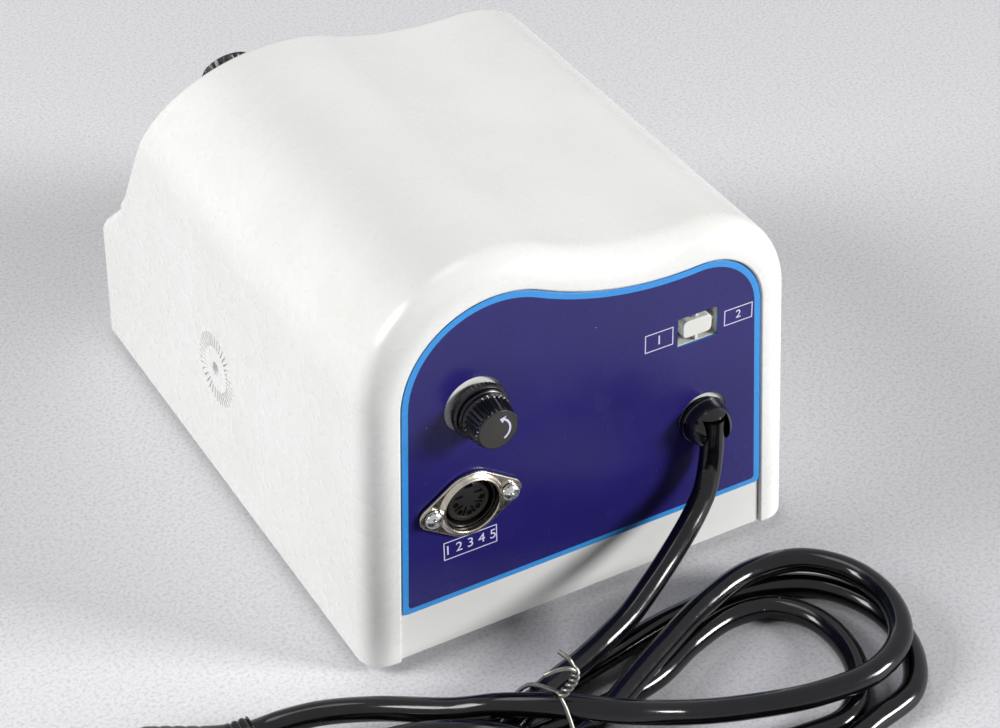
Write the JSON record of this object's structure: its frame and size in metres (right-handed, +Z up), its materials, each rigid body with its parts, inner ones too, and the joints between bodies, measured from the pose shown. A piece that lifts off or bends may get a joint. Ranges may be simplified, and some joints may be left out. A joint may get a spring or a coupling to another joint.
{
  "type": "dental laboratory micromotor control box",
  "caption": "Desktop control box of a dental laboratory micromotor, with a humped casing, leaning fascia, rear plate with sockets and a tied mains cord.",
  "frame": {"origin": "on the table, under the middle of the box without its cord", "axes": "+Z up, -Y towards the user and the controls, +Y towards the rear plate, +X to the side of the speed dial"},
  "size_m": [0.2165, 0.2749, 0.1185],
  "materials": {
    "white_abs": "glossy moulded ABS",
    "violet_print": "satin printed film",
    "black_plastic": "satin moulded",
    "rocker_black": "glossy moulded",
    "ivory_plastic": "satin moulded",
    "nickel_plate": "bright nickel plate",
    "bright_zinc": "bright zinc plate",
    "painted_steel": "grey powder coat",
    "black_rubber": "matte",
    "core_steel": "varnished laminations",
    "coil_tape": "polyester tape",
    "board_green": "solder mask",
    "nylon_white": "moulded nylon",
    "capacitor_sleeve": "shrink sleeve",
    "sink_aluminium": "extruded",
    "lamp_red": "clear red lens",
    "cord_pvc": "glossy PVC",
    "tie_wire": "dark annealed wire"
  },
  "bodies": {
    "control_box": {"casing_shell": "white_abs", "rear_panel": "white_abs", "rear_label": "violet_print", "fascia_overlay": "violet_print", "pedal_socket_insert": "black_plastic", "fuse_holder_body": "black_plastic", "fuse_holder_nut": "black_plastic", "cord_gland": "black_plastic", "direction_switch_body": "black_plastic", "control_switch_body": "black_plastic", "power_switch_body": "black_plastic", "power_transistor": "black_plastic", "selector_housing": "ivory_plastic", "pedal_socket_flange": "nickel_plate", "potentiometer_nut": "nickel_plate", "motor_socket": "nickel_plate", "motor_socket_nut": "nickel_plate", "plug_pin_left": "nickel_plate", "plug_pin_right": "nickel_plate", "pedal_socket_screw_left": "bright_zinc", "pedal_socket_screw_right": "bright_zinc", "pedal_socket_nut_left": "bright_zinc", "pedal_socket_nut_right": "bright_zinc", "base_screw_front_left": "bright_zinc", "base_screw_front_right": "bright_zinc", "base_screw_rear_left": "bright_zinc", "base_screw_rear_right": "bright_zinc", "transformer_strap": "bright_zinc", "strap_screw_front": "bright_zinc", "strap_screw_rear": "bright_zinc", "speed_potentiometer": "bright_zinc", "base_plate": "painted_steel", "foot_front_left": "black_rubber", "foot_front_right": "black_rubber", "foot_rear_left": "black_rubber", "foot_rear_right": "black_rubber", "transformer_core": "core_steel", "transformer_winding": "coil_tape", "circuit_board": "board_green", "board_pillar_front_left": "nylon_white", "board_pillar_front_right": "nylon_white", "board_pillar_rear_left": "nylon_white", "board_pillar_rear_right": "nylon_white", "terminal_block": "nylon_white", "filter_capacitor": "capacitor_sleeve", "heat_sink": "sink_aluminium", "power_lamp": "lamp_red", "mains_cord_lead": "cord_pvc", "mains_cord_hank": "cord_pvc", "plug_body": "cord_pvc", "cord_tie": "tie_wire"},
    "speed_knob": {"speed_dial": "black_plastic", "dial_shaft": "nickel_plate"},
    "direction_key": {"direction_rocker": "rocker_black"},
    "control_key": {"control_rocker": "rocker_black"},
    "power_key": {"power_rocker": "rocker_black"},
    "voltage_slide": {"selector_slider": "ivory_plastic"},
    "fuse_carrier": {"fuse_link": "nickel_plate"},
    "fuse_screw_cap": {"fuse_cap": "black_plastic"}
  },
  "joints": [
    {"name": "speed_dial_turn", "type": "hinge", "parent": "control_box", "child": "speed_knob", "pos_m": [0.02502, -0.0578, 0.0814], "axis": [0, -0.8652, 0.5015], "range_deg": [-280, 0]},
    {"name": "direction_rocker_tip", "type": "hinge", "parent": "control_box", "child": "direction_key", "pos_m": [-0.044, -0.05992, 0.07613], "axis": [1, 0, 0], "range_deg": [-18, 0]},
    {"name": "control_rocker_tip", "type": "hinge", "parent": "control_box", "child": "control_key", "pos_m": [-0.022, -0.05992, 0.07613], "axis": [1, 0, 0], "range_deg": [-18, 0]},
    {"name": "power_rocker_tip", "type": "hinge", "parent": "control_box", "child": "power_key", "pos_m": [-0.033, -0.09375, 0.02], "axis": [1, 0, 0], "range_deg": [-18, 0]},
    {"name": "voltage_slide_shift", "type": "slide", "parent": "control_box", "child": "voltage_slide", "axis": [1, 0, 0], "range_m": [-0.0014, 0.0014]},
    {"name": "fuse_draw_out", "type": "slide", "parent": "control_box", "child": "fuse_carrier", "axis": [0, 1, 0], "range_m": [0, 0.026]},
    {"name": "fuse_cap_turn", "type": "hinge", "parent": "fuse_carrier", "child": "fuse_screw_cap", "pos_m": [0.0312, 0.08905, 0.077], "axis": [0, 1, 0], "range_deg": [0, 60]}
  ]
}
